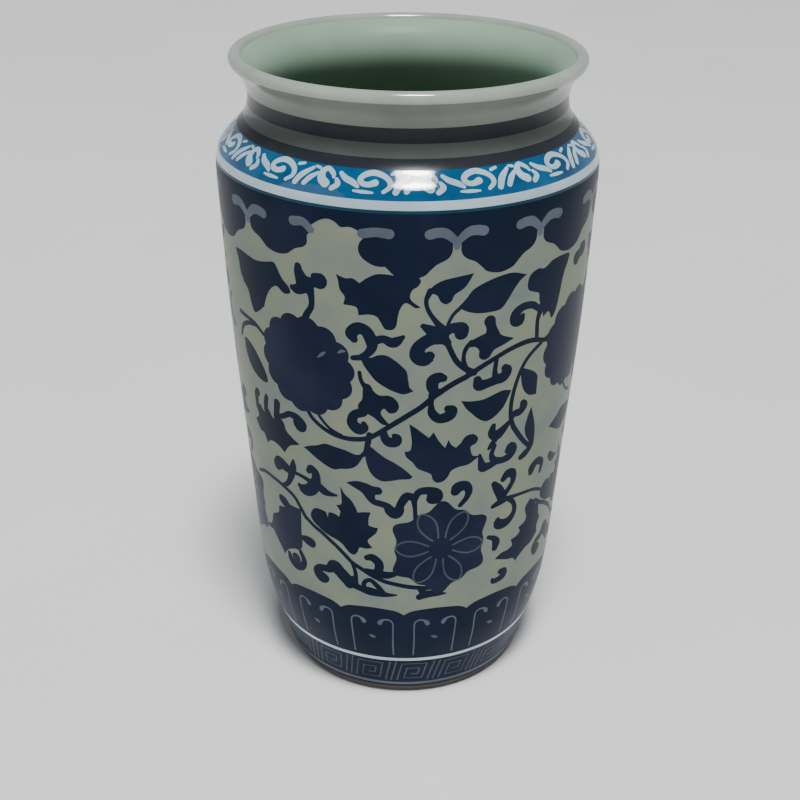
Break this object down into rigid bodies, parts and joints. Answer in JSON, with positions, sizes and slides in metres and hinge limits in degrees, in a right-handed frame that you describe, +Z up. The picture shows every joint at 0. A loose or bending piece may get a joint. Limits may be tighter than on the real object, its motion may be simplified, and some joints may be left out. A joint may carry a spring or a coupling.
{
  "type": "brush pot",
  "caption": "Tall shouldered porcelain pot with a short flared neck, painted in blue, that holds upright writing brushes.",
  "frame": {"origin": "centre of the circle the foot ring rests on, at the bottom of the pot", "axes": "+Z up along the pot's axis of turning, +X and +Y level; the front of the painted pattern faces -Y"},
  "size_m": [0.1122, 0.1122, 0.2],
  "materials": {
    "glaze": "gloss",
    "cobalt_glaze": "gloss",
    "biscuit": "matte"
  },
  "bodies": {
    "root": {"foot_ring": "biscuit", "base_floor": "glaze", "lower_body": "cobalt_glaze", "upper_body": "glaze", "shoulder": "cobalt_glaze", "neck_collar": "glaze", "rim_lip": "glaze"}
  },
  "joints": []
}
